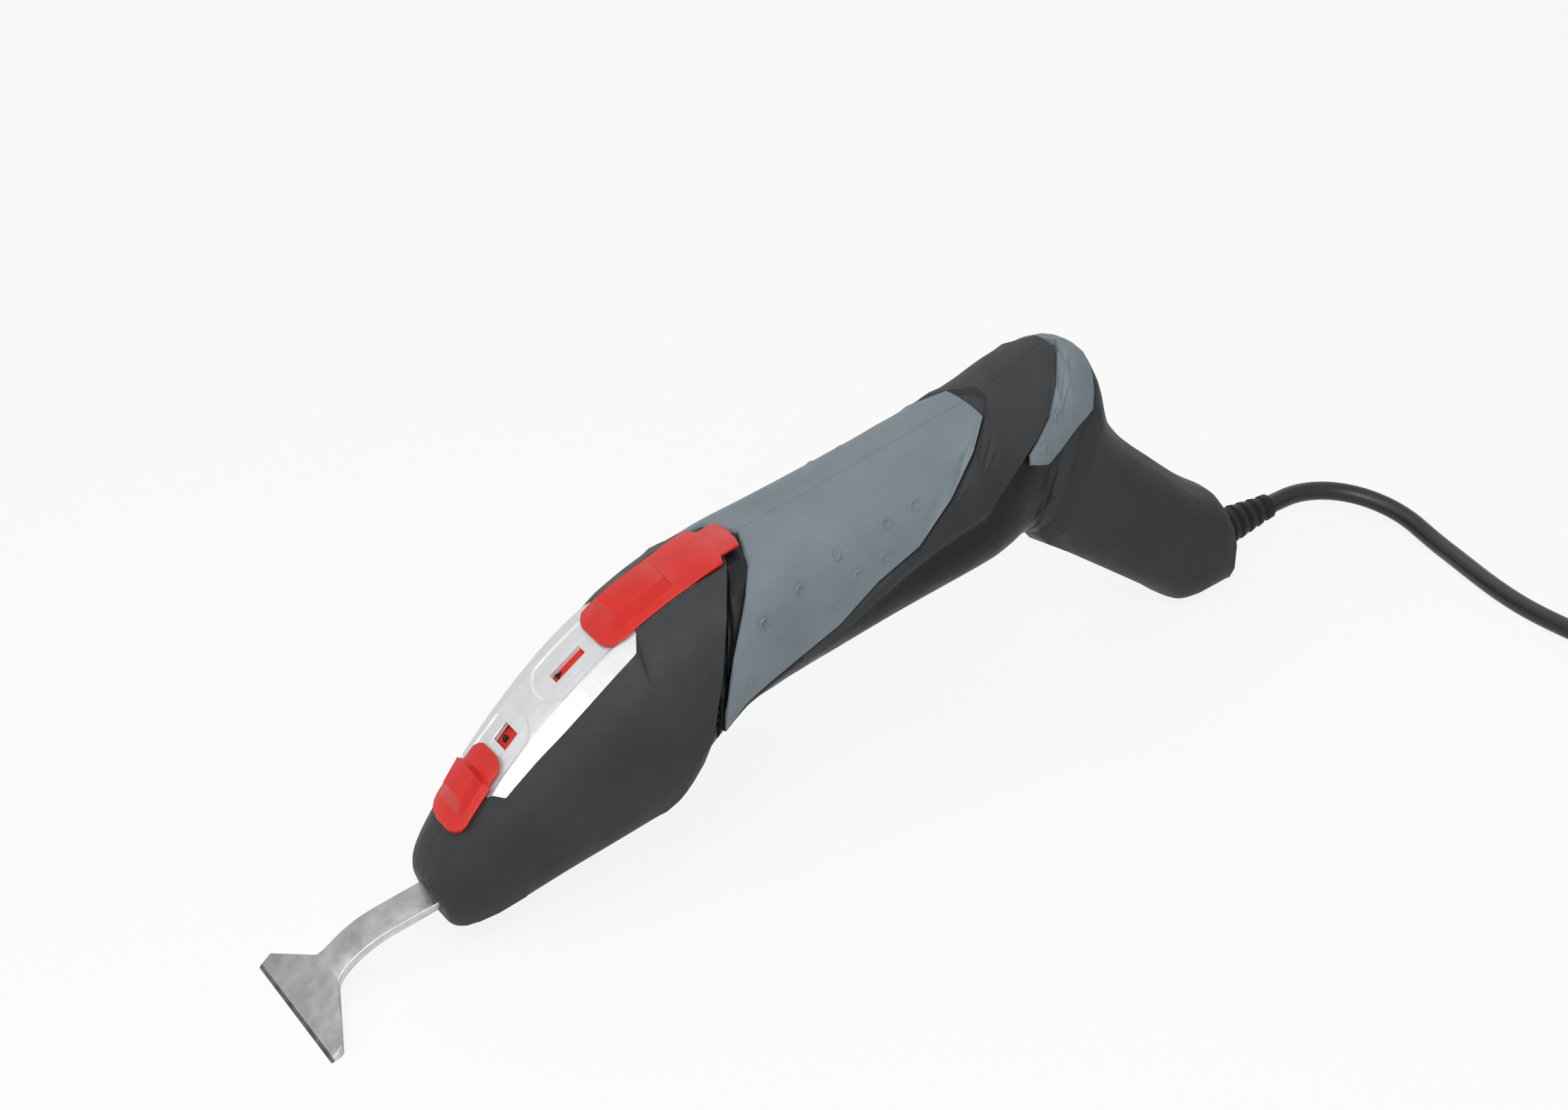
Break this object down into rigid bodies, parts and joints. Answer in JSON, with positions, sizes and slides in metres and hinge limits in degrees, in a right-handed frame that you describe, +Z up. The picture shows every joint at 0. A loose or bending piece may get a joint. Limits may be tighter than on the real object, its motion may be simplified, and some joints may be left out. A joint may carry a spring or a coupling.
{
  "type": "power scraper",
  "caption": "Hand-held electric scraper: moulded body with raked handle, wide bent blade on a crank-driven plunger, speed and lock sliders on a dial plate, mains lead with plug.",
  "frame": {"origin": "middle of the tool's box on the floor, under the standing tool", "axes": "+X from the blade to the cord's end of the tool, +Y to the tool's right seen from behind, +Z up"},
  "size_m": [0.4878, 0.2128, 0.1087],
  "materials": {
    "shell": "fine matt texture",
    "soft_grip": "soft matt",
    "plate": "satin silver",
    "slider": "gloss",
    "blade_steel": "ground and worn",
    "tool_steel": "ground",
    "sintered_bronze": "oiled",
    "die_cast": "as cast",
    "iron": "laminated",
    "copper": "enamelled wire",
    "inner_plastic": "moulded",
    "carbon": "pressed carbon",
    "cord_rubber": "smooth",
    "tie": "matt",
    "pin_metal": "plated"
  },
  "bodies": {
    "housing": {"shell_left": "shell", "shell_right": "shell", "grip_pad_left": "soft_grip", "grip_pad_right": "soft_grip", "palm_pad_left": "soft_grip", "palm_pad_right": "soft_grip", "top_plate": "plate", "plunger_bush": "sintered_bronze", "gear_frame": "die_cast", "crank_bush": "sintered_bronze", "crank_bearing": "tool_steel", "front_bearing": "tool_steel", "rear_bearing": "tool_steel", "stator": "iron", "field_coils": "copper", "end_shield": "inner_plastic", "brush_holders": "sintered_bronze", "carbon_brushes": "carbon", "control_board": "inner_plastic", "capacitor": "inner_plastic", "cord_clamp": "inner_plastic", "clamp_screws": "tool_steel", "cord_guard": "cord_rubber", "cord_inlet": "cord_rubber", "cord_run": "cord_rubber", "cord_coil": "cord_rubber", "coil_tie": "tie", "plug_body": "cord_rubber", "plug_pins": "pin_metal"},
    "speed": {"speed_slider": "slider"},
    "lock": {"lock_slider": "slider"},
    "ram": {"plunger": "tool_steel"},
    "shoe": {"clamp_shoe": "tool_steel"},
    "scraper": {"blade": "blade_steel"},
    "crank": {"crank_shaft": "tool_steel", "crank_roller": "tool_steel", "crown_gear": "tool_steel"},
    "rotor": {"armature_shaft": "tool_steel", "armature_core": "iron", "armature_windings": "copper", "commutator": "copper", "fan": "inner_plastic", "pinion": "tool_steel"}
  },
  "joints": [
    {"name": "rotor_spin", "type": "hinge", "parent": "housing", "child": "rotor", "pos_m": [-0.00456, 0, 0.06892], "axis": [0.9956, 0, 0.0941], "continuous": true},
    {"name": "crank_spin", "type": "hinge", "parent": "housing", "child": "crank", "pos_m": [-0.06986, 0, 0.03724], "axis": [-0.0941, 0, 0.9956], "continuous": true},
    {"name": "plunger_stroke", "type": "slide", "parent": "housing", "child": "ram", "axis": [0.9956, 0, 0.0941], "range_m": [-0.001, 0.001]},
    {"name": "blade_pull", "type": "slide", "parent": "ram", "child": "scraper", "axis": [-0.9956, 0, -0.0941], "range_m": [0, 0.022]},
    {"name": "speed_slide", "type": "hinge", "parent": "housing", "child": "speed", "pos_m": [-0.00273, 0, -0.05975], "axis": [0, 1, 0], "range_deg": [0, 4.16]},
    {"name": "lock_slide", "type": "slide", "parent": "housing", "child": "lock", "axis": [0.7406, 0, 0.6719], "range_m": [0, 0.0045], "stiffness_N_per_m": 400},
    {"name": "clamp_lift", "type": "slide", "parent": "ram", "child": "shoe", "axis": [-0.0941, 0, 0.9956], "range_m": [0, 0.0015]}
  ],
  "couplings": [
    {"joint": "crank_spin", "follows": "rotor_spin", "ratio": 0.40909},
    {"joint": "clamp_lift", "follows": "lock_slide", "ratio": 0.33333}
  ]
}
